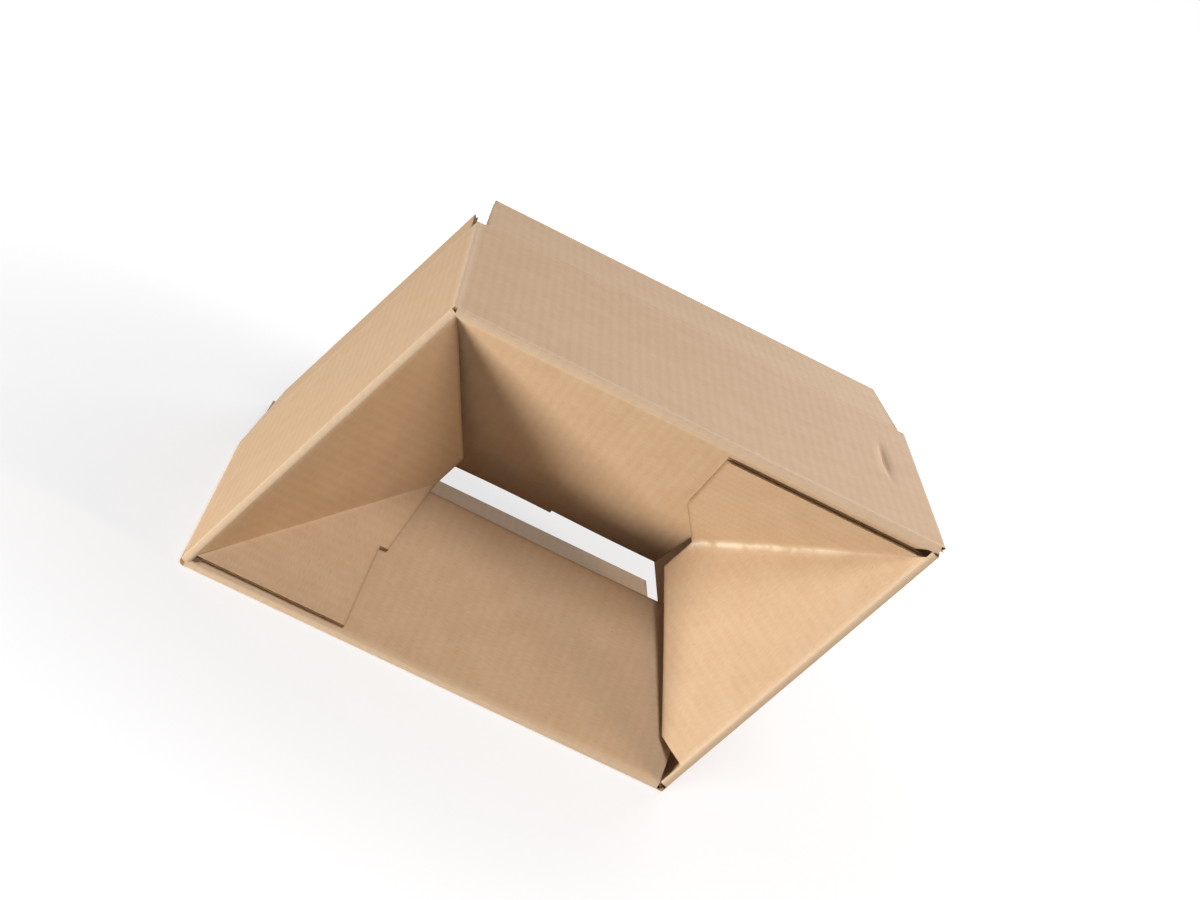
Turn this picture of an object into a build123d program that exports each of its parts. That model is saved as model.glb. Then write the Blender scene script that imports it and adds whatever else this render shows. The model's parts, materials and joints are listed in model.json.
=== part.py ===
"""A half-opened automatic-bottom shipping carton of corrugated board, lying on a long wall.

X runs along the long walls, Y along the tube of walls from its bottom end to its top end,
and Z is up. The bottom end faces -Y. The origin is under the middle of the carton's box.
The walls are skewed into a parallelogram, and the glued bottom flaps follow that skew.
"""

import os
from math import acos, atan2, cos, degrees, radians, sin, tan

from build123d import *

# Overall sizes of the blank, in millimetres
long_wall = 305.0
end_wall = 216.0
wall_height = 225.0
board = 3.0

# Inside angle of the two glued corners, in degrees: 90 once the carton is squared up
skew_angle = 70.0

# Bottom flaps: depths from the fold along the outer face
end_flap_depth = 106.0
short_flap_depth = 104.0
deep_flap_depth = 162.0
end_flap_edge = 140.0
left_flap_inset = 4.0
left_flap_shoulder = 2.0
right_flap_inset = 19.0
right_flap_shoulder = 22.0
long_flap_taper = 14.0
deep_flap_root_edge = 118.0
deep_flap_step = 3.2
deep_flap_step_place = 192.0
crease_setback = 4.0

# Corner tabs of the end flaps, glued to the outer faces of the long flaps
left_tab_length = 100.0
left_tab_rim_gap = 2.5
left_tab_nick = 5.0
left_tab_nick_depth = 57.0
right_tab_length = 133.0
right_tab_rim_gap = 6.0
right_tab_shoulder = 70.0

# Slots in the corners of the bottom rim
slot_depth = 4.0
glued_corner_slot = 8.0
open_corner_slot = 4.0

# Glue lap inside the manufacturer's joint
lap_width = 27.0
lap_end_gap = 9.0
lap_edge_setback = 1.5

# Top flaps: how far each leans inwards from its wall, in degrees, and its tapered sides
top_flap_depth = 108.0
upper_lean = 3.0
lower_lean = 0.0
left_lean = 4.0
right_lean = 10.0
end_score_drop = 3.0
score_gap = 0.3
score_bevel = 16.0
flap_root_inset = 6.0
long_flap_tip_inset = 9.0
end_flap_tip_inset = 18.0

overrun = 40.0

# The bottom's fold angles follow from the skew, because its diagonal creases lie at 45 degrees
half_skew = radians(skew_angle) / 2
crease_rise = acos(cos(radians(45)) / cos(half_skew))
flap_tilt = atan2(tan(crease_rise), sin(half_skew))

# Directions: the tube's axis, and the way into the carton from each wall
skew = radians(skew_angle)
axis = Vector(0, 1, 0)
into_from_left = Vector(sin(skew), 0, -cos(skew))
into_from_upper = Vector(0, 0, -1)
into_from_right = into_from_left * -1
into_from_lower = into_from_upper * -1

# Outer corners of the bottom rim, round the tube from lower left to lower right
lean_x = end_wall * cos(skew)
tube_rise = end_wall * sin(skew)
rim_y = -(wall_height + top_flap_depth) / 2
lower_left = Vector(-(long_wall + lean_x) / 2, rim_y, 0)
upper_left = lower_left + Vector(lean_x, 0, tube_rise)
upper_right = upper_left + Vector(long_wall, 0, 0)
lower_right = lower_left + Vector(long_wall, 0, 0)


class Wall:
    """One wall: its first corner, the way into the carton, and its width round the tube."""

    def __init__(self, corner, into, width):
        self.corner = corner
        self.into = into
        self.width = width
        self.rim = into.cross(axis)
        self.face = into * sin(flap_tilt) - axis * cos(flap_tilt)

    def section(self, along):
        """Plane across the wall: x into the carton, y along the tube."""
        return Plane(self.corner + self.rim * along, x_dir=self.into, z_dir=self.rim)

    def flap_face(self, lift=0.0):
        """Plane on the bottom flap's outer face: x along the rim, y down the flap."""
        fold = self.corner + self.into * board + axis * board
        return Plane(fold + self.face * (board + lift), x_dir=self.rim, z_dir=self.face * -1)

    def top_section(self, lean, drop):
        """Plane across the top flap: x through the board, y along the flap."""
        flap_into = self.into * cos(lean) - axis * sin(lean)
        score = self.corner + axis * (wall_height - drop)
        return Plane(score, x_dir=flap_into, z_dir=self.rim)

    def top_face(self, lean, drop):
        """Plane on the top flap's outer face: x along the score, y along the flap."""
        section = self.top_section(lean, drop)
        return Plane(section.origin, x_dir=self.rim, z_dir=section.x_dir * -1)


left_wall = Wall(lower_left, into_from_left, end_wall)
upper_wall = Wall(upper_left, into_from_upper, long_wall)
right_wall = Wall(upper_right, into_from_right, end_wall)
lower_wall = Wall(lower_right, into_from_lower, long_wall)


def meeting(corner, wall, depth, next_wall, next_depth):
    """Where two planes meet that lie at these depths below the outer faces of two walls."""
    overlap = wall.into.dot(next_wall.into)
    spread = 1 - overlap**2
    first = (depth - next_depth * overlap) / spread
    second = (next_depth - depth * overlap) / spread
    return corner + wall.into * first + next_wall.into * second


def bottom_flap(wall, depth, outline, slots):
    """A wall's bottom fold and its flap, cut to an outline drawn on the flap's outer face."""
    first_slot, last_slot = slots
    root = slot_depth + 2 * board
    slope = Vector(cos(flap_tilt), sin(flap_tilt)) * depth
    tangent = Vector(1 + sin(flap_tilt), 1 - cos(flap_tilt)) * board
    inner_fold = Vector(board, board)
    with BuildPart() as flap:
        with BuildSketch(wall.section(first_slot)):
            with BuildLine():
                CenterArc(inner_fold, board, 180, 90 + degrees(flap_tilt))
                Polyline(
                    tangent,
                    tangent + slope,
                    inner_fold + slope,
                    inner_fold,
                    (board, root),
                    (0, root),
                    (0, board),
                )
            make_face()
        extrude(amount=wall.width - first_slot - last_slot)
        with BuildSketch(wall.flap_face()):
            with BuildLine():
                Polyline(*outline, close=True)
            make_face()
        extrude(amount=overrun, both=True, mode=Mode.INTERSECT)
    return flap.part


def crease_line(end, long):
    """Two points of the diagonal crease, from the end flap's fold to its free edge."""
    end_plane = end.flap_face()
    tab_plane = long.flap_face(board)
    gap = (end_plane.origin - tab_plane.origin).dot(long.face)
    start = -gap / end.rim.dot(long.face)
    first = end_plane.from_local_coords(Vector(start, 0))
    last = end_plane.from_local_coords(Vector(start + end_flap_depth, end_flap_depth))
    return first, last


def mitre(end, long):
    """Plane that halves the diagonal crease, facing the end flap's side."""
    first, last = crease_line(end, long)
    along = (last - first).normalized()
    back = (end.face + long.face).normalized()
    facing = along.cross(back)
    if facing.dot(end.rim) < 0:
        facing = facing * -1
    return Plane(first, x_dir=along, z_dir=facing)


def end_flap(end, long, shoulder_inset, shoulder):
    """An end wall's bottom flap: a slanted side, a free edge and the diagonal crease."""
    side = end.width - shoulder_inset
    outline = [
        (0, -overrun),
        (end.width, -overrun),
        (end.width, 0),
        (side, 0),
        (side, shoulder),
        (end_flap_edge, end_flap_depth),
        (0, end_flap_depth),
    ]
    plate = bottom_flap(end, end_flap_depth, outline, (glued_corner_slot, open_corner_slot))
    with BuildPart() as flap:
        add(plate)
        split(bisect_by=mitre(end, long), keep=Keep.TOP)
    return flap.part


def corner_tab(end, long, side, rim_gap):
    """A tab beyond the diagonal crease, on the long flap's outer face, with its cut side."""
    plane = long.flap_face(board)
    first, last = crease_line(end, long)
    crease_end = plane.to_local_coords(last)
    cut_side = [(long.width - along, down) for along, down in side]
    outline = [
        (long.width, rim_gap),
        (cut_side[0][0], rim_gap),
        *cut_side,
        (crease_end.X, crease_end.Y),
        (long.width, crease_end.Y),
    ]
    with BuildPart() as tab:
        with BuildSketch(plane):
            with BuildLine():
                Polyline(*outline, close=True)
            make_face()
        extrude(amount=board)
        split(bisect_by=mitre(end, long), keep=Keep.BOTTOM)
    return tab.part


def tab_crease(end, long):
    """Where the crease crosses the long flap's fold, measured from the glued corner."""
    plane = long.flap_face(board)
    first = plane.to_local_coords(crease_line(end, long)[0])
    return long.width - first.X - first.Y


# Lower bottom flap: short, under the left tab, its glued side cut back behind the crease
lower_cut = tab_crease(left_wall, lower_wall) + crease_setback
lower_outline = [
    (0, -overrun),
    (long_wall, -overrun),
    (long_wall - lower_cut, 0),
    (long_wall - lower_cut - short_flap_depth, short_flap_depth),
    (long_flap_taper, short_flap_depth),
    (0, 0),
]
lower_slots = (open_corner_slot, glued_corner_slot)
lower_flap = bottom_flap(lower_wall, short_flap_depth, lower_outline, lower_slots)

# Upper bottom flap: deep, stepped free edge, its glued side cut back behind the crease
upper_cut = tab_crease(right_wall, upper_wall) + crease_setback
upper_outline = [
    (0, -overrun),
    (long_wall, -overrun),
    (long_wall - upper_cut, 0),
    (long_wall - upper_cut - end_flap_depth, end_flap_depth),
    (long_wall - deep_flap_root_edge - crease_setback, deep_flap_depth - deep_flap_step),
    (long_wall - deep_flap_step_place, deep_flap_depth - deep_flap_step),
    (long_wall - deep_flap_step_place, deep_flap_depth),
    (long_flap_taper, deep_flap_depth),
    (0, 0),
]
upper_slots = (open_corner_slot, glued_corner_slot)
upper_flap = bottom_flap(upper_wall, deep_flap_depth, upper_outline, upper_slots)

# End bottom flaps and their tabs
left_flap = end_flap(left_wall, lower_wall, left_flap_inset, left_flap_shoulder)
right_flap = end_flap(right_wall, upper_wall, right_flap_inset, right_flap_shoulder)
left_tab_side = [
    (left_tab_length, left_tab_nick_depth),
    (left_tab_length + left_tab_nick, left_tab_nick_depth),
]
left_tab = corner_tab(left_wall, lower_wall, left_tab_side, left_tab_rim_gap)
right_tab_side = [(right_tab_length, right_tab_shoulder)]
right_tab = corner_tab(right_wall, upper_wall, right_tab_side, right_tab_rim_gap)

# The strip of walls and the glue lap, each as the points of its outer and inner faces, with
# the strip running from the manufacturer's joint at the upper right round to it again
joint = meeting(upper_right, right_wall, board, upper_wall, 2 * board)
strip_edge = upper_right - Vector(lap_edge_setback, 0, 0)
strip_outside = [
    joint + into_from_left * board,
    lower_right,
    lower_left,
    upper_left,
    strip_edge,
]
strip_inside = [
    strip_edge + into_from_upper * board,
    meeting(upper_left, upper_wall, board, left_wall, board),
    meeting(lower_left, left_wall, board, lower_wall, board),
    meeting(lower_right, lower_wall, board, right_wall, board),
    joint,
]
lap_root = joint + right_wall.rim * lap_width
lap_edge = joint - Vector(lap_width, 0, 0)
lap_outside = [
    lap_root + into_from_left * board,
    meeting(upper_right, right_wall, 0, upper_wall, board),
    lap_edge + into_from_lower * board,
]
lap_inside = [lap_edge, joint, lap_root]
tube_end = Plane(axis * rim_y, x_dir=(1, 0, 0), z_dir=axis * -1)


def bent_strip(outside, inside, end_gap, top_gap):
    """A bent strip of board along the tube, rounded outside its folds."""
    outer = [tube_end.to_local_coords(point) for point in outside]
    inner = [tube_end.to_local_coords(point) for point in inside]
    with BuildPart() as strip:
        with BuildSketch(tube_end.offset(-end_gap)):
            with BuildLine():
                FilletPolyline(*outer, radius=board)
                Polyline(outer[-1], *inner, outer[0])
            make_face()
        extrude(amount=end_gap + top_gap - wall_height)
    return strip.part


walls = bent_strip(strip_outside, strip_inside, slot_depth, 0)
glue_lap = bent_strip(lap_outside, lap_inside, lap_end_gap, lap_end_gap)

with BuildPart() as carton_body:
    # Four walls, and the lap bent from the right end wall to lie inside the upper long wall
    add([walls, glue_lap])
    # End walls stop one board lower, so that their flaps fold in under the long ones
    for wall in (left_wall, right_wall):
        with BuildSketch(wall.section(0)):
            with Locations((board, wall_height - end_score_drop)):
                Rectangle(overrun, overrun, align=(Align.MAX, Align.MIN))
        extrude(amount=wall.width, mode=Mode.SUBTRACT)
    # Bottom folds and flaps, with the tabs glued to the long flaps
    add([lower_flap, upper_flap, left_flap, right_flap, left_tab, right_tab])


def top_flap(wall, lean_degrees, drop, tip_inset):
    """A tapered flap beyond its score, with the scored edge bevelled on the inside."""
    lean = radians(lean_degrees)
    bevel = board * tan(radians(score_bevel))
    with BuildPart() as flap:
        with BuildSketch(wall.top_section(lean, drop)):
            with BuildLine():
                Polyline(
                    (0, score_gap),
                    (0, top_flap_depth),
                    (board, top_flap_depth),
                    (board, score_gap + bevel),
                    close=True,
                )
            make_face()
        extrude(amount=wall.width)
        with BuildSketch(wall.top_face(lean, drop)):
            with BuildLine():
                Polyline(
                    (flap_root_inset, 0),
                    (wall.width - flap_root_inset, 0),
                    (wall.width - tip_inset, top_flap_depth),
                    (tip_inset, top_flap_depth),
                    close=True,
                )
            make_face()
        extrude(amount=overrun, both=True, mode=Mode.INTERSECT)
    return flap.part


pieces = {
    "carton_body": carton_body.part,
    "top_flap_upper": top_flap(upper_wall, upper_lean, 0, long_flap_tip_inset),
    "top_flap_lower": top_flap(lower_wall, lower_lean, 0, long_flap_tip_inset),
    "top_flap_left": top_flap(left_wall, left_lean, end_score_drop, end_flap_tip_inset),
    "top_flap_right": top_flap(right_wall, right_lean, end_score_drop, end_flap_tip_inset),
}

os.makedirs("parts", exist_ok=True)
for name, piece in pieces.items():
    piece.label = name
    export_step(piece, f"parts/{name}.step")
    print(name, len(piece.solids()), round(piece.volume), piece.bounding_box())
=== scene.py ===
# %% [markdown]
# # A half-opened shipping carton
#
# The real carton is one sheet of corrugated board. Two flat kraft papers, the liners, hold a wavy
# paper between them, the fluting. A die cuts and scores the sheet, and it is folded and glued into
# a tube whose bottom locks by itself as the tube is squared up. Here it is caught half way, skewed,
# with its bottom flaps sloping inwards and its top flaps open.
#
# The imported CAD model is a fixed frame: it says where each wall, flap and hinge is. The lesson
# builds the same sheet again with its real layers, so that a cut edge shows liners and flutes as
# board does, and then gives it a paper surface, a floor, lights and a camera.

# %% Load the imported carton
import json
from math import acos, atan2, cos, pi, radians, sin, sqrt, tan

import bmesh
import bpy
import numpy as np
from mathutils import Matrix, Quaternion, Vector


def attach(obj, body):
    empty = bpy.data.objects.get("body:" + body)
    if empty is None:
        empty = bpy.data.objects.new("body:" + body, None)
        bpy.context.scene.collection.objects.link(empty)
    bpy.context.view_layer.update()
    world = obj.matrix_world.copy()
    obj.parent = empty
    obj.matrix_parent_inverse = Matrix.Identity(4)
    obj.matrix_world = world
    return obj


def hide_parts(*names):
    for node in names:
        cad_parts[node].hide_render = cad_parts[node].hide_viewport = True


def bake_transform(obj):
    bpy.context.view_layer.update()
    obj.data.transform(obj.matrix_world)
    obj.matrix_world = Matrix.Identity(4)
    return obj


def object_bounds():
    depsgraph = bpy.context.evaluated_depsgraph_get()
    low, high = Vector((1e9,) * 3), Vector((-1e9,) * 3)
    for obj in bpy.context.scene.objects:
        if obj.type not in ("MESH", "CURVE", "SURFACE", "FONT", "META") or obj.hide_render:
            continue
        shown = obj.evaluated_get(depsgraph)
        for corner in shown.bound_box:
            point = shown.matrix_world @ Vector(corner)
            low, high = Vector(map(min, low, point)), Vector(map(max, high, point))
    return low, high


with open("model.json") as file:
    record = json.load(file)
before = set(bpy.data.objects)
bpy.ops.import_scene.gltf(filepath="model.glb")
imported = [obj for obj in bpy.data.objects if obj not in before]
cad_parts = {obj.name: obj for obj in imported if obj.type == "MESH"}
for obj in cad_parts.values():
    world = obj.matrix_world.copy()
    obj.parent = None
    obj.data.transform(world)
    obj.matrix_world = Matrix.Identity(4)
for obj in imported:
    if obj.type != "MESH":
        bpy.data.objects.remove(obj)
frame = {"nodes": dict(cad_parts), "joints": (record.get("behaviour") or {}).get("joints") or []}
cad_low, cad_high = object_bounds()
hinges = {joint["name"]: joint for joint in frame["joints"]}
print("CAD nodes:", sorted(frame["nodes"]))

# %% [markdown]
# ## The sheet and its folds
#
# A folding carton is easiest to describe as its maker does: a few panel sizes, and the angles at
# which the panels meet. The bottom's diagonal creases lie at 45 degrees on the flat sheet, so the
# slope of the bottom flaps follows from the skew of the tube, and nothing has to be fitted by eye.
# The heights come from the frame, the widths and flap depths are the real ones.

# %% Panel sizes and directions
mm = 0.001
board = 3.0 * mm
long_wall = 305 * mm
end_wall = 216 * mm
skew = radians(70)
crease_lie = radians(45)

rim_y = cad_low.y
long_height = hinges["upper_flap_fold"]["pos_m"][1] - rim_y
end_height = hinges["left_flap_fold"]["pos_m"][1] - rim_y
crease_rise = acos(cos(crease_lie) / cos(skew / 2))
flap_tilt = atan2(tan(crease_rise), sin(skew / 2))

axis = np.array([0.0, 1.0, 0.0])
into_left = np.array([sin(skew), 0.0, -cos(skew)])
into_upper = np.array([0.0, 0.0, -1.0])
up_the_end = np.array([end_wall * cos(skew), 0.0, end_wall * sin(skew)])
along_the_side = np.array([long_wall, 0.0, 0.0])
lower_left = np.array([-(long_wall + up_the_end[0]) / 2, rim_y, 0.0])
upper_left = lower_left + up_the_end
upper_right = upper_left + along_the_side
lower_right = lower_left + along_the_side
print(f"walls {long_height / mm:.1f} and {end_height / mm:.1f} mm high")
print(f"bottom flaps slope {np.degrees(flap_tilt):.2f} degrees into the tube")


# %% [markdown]
# ## Panels
#
# Every flat part of the sheet gets the same three directions: across its flutes, along them, and
# out of its outer side. A point of the flat sheet plus a depth through the board is then placed
# by one short sum. Real board is never quite flat, so a panel can also carry a press: a small
# smooth dent or bow that takes the surface inwards and fades to nothing at the folds.

# %% Flat panels and the four walls
def level(s, t):
    """A panel with no dent or bow."""
    return 0.0 * s


class Panel:
    """A flat part of the sheet: s across the flutes, t along them, depth below the outer face."""

    def __init__(self, origin, across, along, outward, press=level):
        self.origin = origin
        self.across = across
        self.along = along
        self.outward = outward
        self.press = press

    def place(self, s, t, depth):
        sunk = depth + self.press(s, t)
        flat = self.origin + np.multiply.outer(s, self.across) + np.multiply.outer(t, self.along)
        return flat - np.multiply.outer(sunk, self.outward)


class Wall:
    """A wall of the tube with its bottom flap, from its first corner along the rim."""

    def __init__(self, corner, into, width, height, offset):
        self.corner = corner
        self.into = into
        self.width = width
        self.height = height
        self.offset = offset
        self.rim = np.cross(into, axis)
        self.face = into * sin(flap_tilt) - axis * cos(flap_tilt)
        self.slope = into * cos(flap_tilt) + axis * sin(flap_tilt)
        self.fold = corner + (into + axis) * board
        self.panel = Panel(corner, self.rim, axis, -into)
        self.flap = Panel(self.fold + self.face * board, self.rim, self.slope, self.face)


# The strip of walls runs from the glued joint at the upper right round to it again
right = Wall(upper_right, -into_left, end_wall, end_height, 0)
lower = Wall(lower_right, -into_upper, long_wall, long_height, end_wall)
left = Wall(lower_left, into_left, end_wall, end_height, end_wall + long_wall)
upper = Wall(upper_left, into_upper, long_wall, long_height, 2 * end_wall + long_wall)
walls = (right, lower, left, upper)
ends = (left, right)
print("sheet length round the tube:", round((upper.offset + long_wall) / mm), "mm")

# %% [markdown]
# ## The cut edges
#
# Along each wall's rim the die leaves a flap, and the flap's outline is one line: how deep the
# board reaches at each place along the rim. The end flaps run into a diagonal crease, and beyond
# it the same board goes on as a corner tab, which is glued to the long flap beside it.
# A line of a few corner points, read by interpolation, says all of this without any cutting.

# %% How a cut edge is written down
knife = 0.03 * mm
slack = knife / 9           # rounding that is let through where two places are compared


class CutLine:
    """How far the board reaches at each place; a place given twice is a square step."""

    def __init__(self, *points):
        places, reaches = np.array(points, float).T
        for i in range(1, len(places)):
            if places[i] - places[i - 1] < knife:
                places[i - 1] -= knife
                places[i] += knife
        self.places = places
        self.reaches = reaches

    def __call__(self, s):
        return np.interp(s, self.places, self.reaches)


print("a square step is", 2 * knife / mm, "mm wide")

# %% Where the diagonal creases run
end_flap_depth = 106 * mm
crease_setback = 4 * mm


def crease_start(end, long):
    """Where the diagonal crease leaves the end flap's fold, on the flap and on the tab's plane."""
    tab_origin = long.flap.origin + long.face * board
    gap = (end.flap.origin - tab_origin) @ long.face
    start = -gap / (end.rim @ long.face)
    point = end.flap.origin + end.rim * start
    inward = long.width - (point - tab_origin) @ long.rim
    down = (point - tab_origin) @ long.slope
    return start, point, inward, down


crease, left_crease_point, tab_inward, tab_down = crease_start(left, lower)
right_crease_point = crease_start(right, upper)[1]
crease_end = crease + end_flap_depth
glued_cut = tab_inward - tab_down + crease_setback
print(f"creases start {crease / mm:.1f} mm from the corner and end at {crease_end / mm:.1f} mm")

# %% Outlines of the bottom flaps
short_flap_depth = 104 * mm
deep_flap_depth = 162 * mm
end_flap_edge = 140 * mm
left_flap_inset = 2.6 * mm
left_flap_shoulder = 0
right_flap_inset = 19 * mm
right_flap_shoulder = 22 * mm
long_flap_taper = 14 * mm
deep_flap_step = 3.2 * mm
deep_flap_step_place = 192 * mm
deep_flap_root_edge = 122 * mm
glued_slot = 4 * mm
open_slot = 4 * mm
closed_slot = 1 * mm


def end_flap_line(inset, shoulder, slot):
    """Cut edge of an end flap: up the crease, along the free edge, down the slanted side."""
    side = end_wall - inset
    up_the_crease = [(glued_slot, 0), (crease, 0), (crease_end, end_flap_depth)]
    down_the_side = [(end_flap_edge, end_flap_depth), (side, shoulder), (side, 0), (end_wall - slot, 0)]
    return CutLine(*up_the_crease, *down_the_side)


def long_flap_line(depth, corners, slot):
    """Cut edge of a long flap: a tapered side, its free edge, and back behind the crease."""
    taper_reach = depth * slot / long_flap_taper
    behind = [(long_wall - glued_cut, 0), (long_wall - glued_slot, 0)]
    return CutLine((slot, taper_reach), (long_flap_taper, depth), *corners, *behind)


step_place = long_wall - deep_flap_step_place
stepped_depth = deep_flap_depth - deep_flap_step
left.cut = end_flap_line(left_flap_inset, left_flap_shoulder, closed_slot)
right.cut = end_flap_line(right_flap_inset, right_flap_shoulder, open_slot)
lower.cut = long_flap_line(
    short_flap_depth,
    [(long_wall - glued_cut - short_flap_depth, short_flap_depth)],
    open_slot,
)
upper.cut = long_flap_line(
    deep_flap_depth,
    [
        (step_place, deep_flap_depth),
        (step_place, stepped_depth),
        (long_wall - deep_flap_root_edge, stepped_depth),
        (long_wall - glued_cut - end_flap_depth, end_flap_depth),
    ],
    closed_slot,
)
print("flap depths in mm:", [round(wall.cut.reaches.max() / mm) for wall in walls])

# %% Outlines of the corner tabs
# A tab is measured from the start of its crease: q across its flutes, and its reach along them
left_tab_length = 100 * mm
left_tab_nick = 5 * mm
left_tab_nick_place = 57 * mm
right_tab_length = 133 * mm
right_tab_shoulder = 70 * mm
right_tab_gap = 6 * mm
left_tab_reach = left_tab_length - tab_inward
right_tab_reach = right_tab_length - tab_inward
left.tab_cut = CutLine(
    (0, left_tab_reach),
    (left_tab_nick_place - tab_down, left_tab_reach),
    (left_tab_nick_place - tab_down, left_tab_reach + left_tab_nick),
    (end_flap_depth, end_flap_depth),
)
right.tab_cut = CutLine(
    (right_tab_gap - tab_down, right_tab_reach),
    (right_tab_shoulder - tab_down, right_tab_reach),
    (end_flap_depth, end_flap_depth),
)
left.tab = Panel(left_crease_point, lower.slope, -lower.rim, lower.face)
right.tab = Panel(right_crease_point, upper.slope, -upper.rim, upper.face)
left.glued_to = lower
right.glued_to = upper
print(f"tabs reach {left_tab_reach / mm:.1f} and {right_tab_reach / mm:.1f} mm past the crease's start")

# %% [markdown]
# ## Marks of use in the board
#
# Straight CAD planes look like sheet metal. Board that has been used bows by about a millimetre,
# is pressed thin beside its scores, is crushed along a crease that was forced, and keeps a buckle
# where it was squeezed. Each of these is a small formula in the panel's own two directions, added
# as its press, so the mesh itself carries it and every layer of the board follows.

# %% Bows, pressed scores and the buckle
wall_bow = 0.9 * mm
score_press = 0.3 * mm
score_reach = 3.5 * mm
buckle_depth = 1.7 * mm
buckle_width = 2.0 * mm
buckle_inset = 26 * mm
buckle_place = long_wall - buckle_inset
buckle_from = 80 * mm
buckle_to = 180 * mm


def hump(share):
    """Rises from 0 to 1 and falls again as a share goes from 0 to 1."""
    return np.sin(pi * np.clip(share, 0, 1)) ** 2


def rise(share):
    """Goes smoothly from 0 to 1."""
    share = np.clip(share, 0, 1)
    return share * share * (3 - 2 * share)


def pressed(distance):
    """The thin band beside a score: nothing on the fold itself, most a few millimetres off."""
    share = distance / score_reach
    return score_press * share * np.exp(1 - share) * (distance > 0)


def wall_press(wall):
    """A wall bows gently inwards and is pressed beside its bottom fold; the upper one is buckled."""
    def press(s, t):
        bow = wall_bow * hump(s / wall.width) * hump((t - board) / (wall.height - board))
        if wall is upper:
            across = (s - buckle_place) / buckle_width
            along = (t - buckle_from) / (buckle_to - buckle_from)
            bow = bow + buckle_depth * np.exp(-across**2) * hump(along)
        return bow + pressed(t - board)
    return press


for wall in walls:
    wall.panel.press = wall_press(wall)
buckle_middle = np.array([(buckle_from + buckle_to) / 2])
deepest = upper.panel.press(np.array([buckle_place]), buckle_middle)[0]
print(f"deepest mark in the upper wall: {deepest / mm:.2f} mm")

# %% Curled flaps and the crushed crease
flap_bow = 1.2 * mm
curl_reach = 70 * mm
crush_depth = 0.7 * mm
crush_reach = 5 * mm
crush_fades_in = 30 * mm
crumple_waves = ((5.7 * mm, 0), (3.3 * mm, 1.3), (9.1 * mm, 0.4))
tab_clear = 10 * mm


def crumple(place):
    """An uneven pattern along a crease, from three waves that never fall in step."""
    first, second, third = (np.sin(place / length + shift) for length, shift in crumple_waves)
    return 0.5 + 0.25 * (first * second + third)


def crushed(distance, place):
    """Dents beside the forced crease, none on the crease line itself."""
    share = np.maximum(distance, 0) / crush_reach
    return crush_depth * share * np.exp(1 - share) * crumple(place) * rise(place / crush_fades_in)


def end_flap_press(end):
    """An end flap curls at its free corner; the right one is crushed along its crease."""
    def press(s, t):
        from_crease = (s - crease - t) / sqrt(2)
        curl = flap_bow * rise(t / end_flap_depth) * rise(from_crease / curl_reach)
        if end is right:
            curl = curl + crushed(from_crease, t)
        return curl + pressed(t)
    return press


def long_flap_press(depth, flat_from):
    """A long flap bows at its free edge, and lies flat where a tab is glued to it."""
    def press(s, t):
        return flap_bow * hump(s / flat_from) * (s < flat_from) * rise(t / depth) + pressed(t)
    return press


def right_tab_press(q, p):
    """The right tab is crushed along the crease like the flap that it belongs to."""
    return crushed((p - q) / sqrt(2), q)


for end in ends:
    end.flap.press = end_flap_press(end)
lower.flap.press = long_flap_press(short_flap_depth, long_wall - left_tab_length - tab_clear)
upper.flap.press = long_flap_press(deep_flap_depth, long_wall - right_tab_length - tab_clear)
right.tab.press = right_tab_press
print(f"flaps curl by up to {flap_bow / mm:.1f} mm, the forced crease is {crush_depth / mm:.1f} mm deep")

# %% [markdown]
# ## Colours and the node helper
#
# Colours are written as the sRGB hex values that a paint program shows. Shaders work in linear
# light, so one function turns them round. One more small function adds any node to any tree: it
# sets properties, fills sockets, and links a socket when it is given another node's output.

# %% Hex colours and one function that adds a node
def colour(code):
    """Linear RGBA from an sRGB hex colour such as #cbaa87."""
    parts = [int(code[i:i + 2], 16) / 255 for i in (1, 3, 5)]
    linear = [c / 12.92 if c <= 0.04045 else ((c + 0.055) / 1.055) ** 2.4 for c in parts]
    return (*linear, 1.0)


def add(tree, kind, sockets=None, **settings):
    """Adds a node, sets its properties, and fills or links its input sockets."""
    node = tree.nodes.new(kind)
    for name, value in settings.items():
        setattr(node, name, value)
    for key, value in (sockets or {}).items():
        if isinstance(value, bpy.types.NodeSocket):
            tree.links.new(value, node.inputs[key])
        else:
            node.inputs[key].default_value = value
    return node


def new_material(name):
    """An empty node material with its output, ready for a shader."""
    material = bpy.data.materials.new(name)
    material.use_nodes = True
    material.node_tree.nodes.clear()
    return material, material.node_tree


def set_stops(ramp, *stops):
    """Gives a colour ramp its places and hex colours."""
    for element, (position, code) in zip(ramp.elements, stops):
        element.position = position
        element.color = colour(code)


print("kraft brown in linear light:", [round(c, 3) for c in colour("#cbaa87")[:3]])

# %% [markdown]
# ## Kraft liner
#
# The liners are unbleached kraft paper, rolled flat but not coated: matt, brown, clouded where the
# pulp lay thicker, with short fibres and a few dark specks of bark. The flutes underneath show
# through as a faint washboard, a small bump with light and dark stripes of painted shade in the
# colour. Paper that was bent is paler along the fold, because its surface fibres are broken, and
# the pale line along folds and the forced crease is also a painted highlight. It is darker beside a
# cut, where the die pinched it, and that dark band is also painted shade.
#
# The washboard and the fibres follow the flat sheet, so they read its UV map. The other patterns
# read Object coordinates, which run on from panel to panel, and the mesh itself says how near each
# point is to a fold, a crushed crease and a cut.

# %% Patterns in the liner
flute_pitch = 6.3 * mm
cloud_size = 15 * mm
fibre_length = 5.0 * mm
fibre_width = 0.9 * mm      # real fibres are finer: this is as fine as the render can show
speck_size = 1.1 * mm
pale_patch_size = 12 * mm
wrinkle_size = 4 * mm


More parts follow.
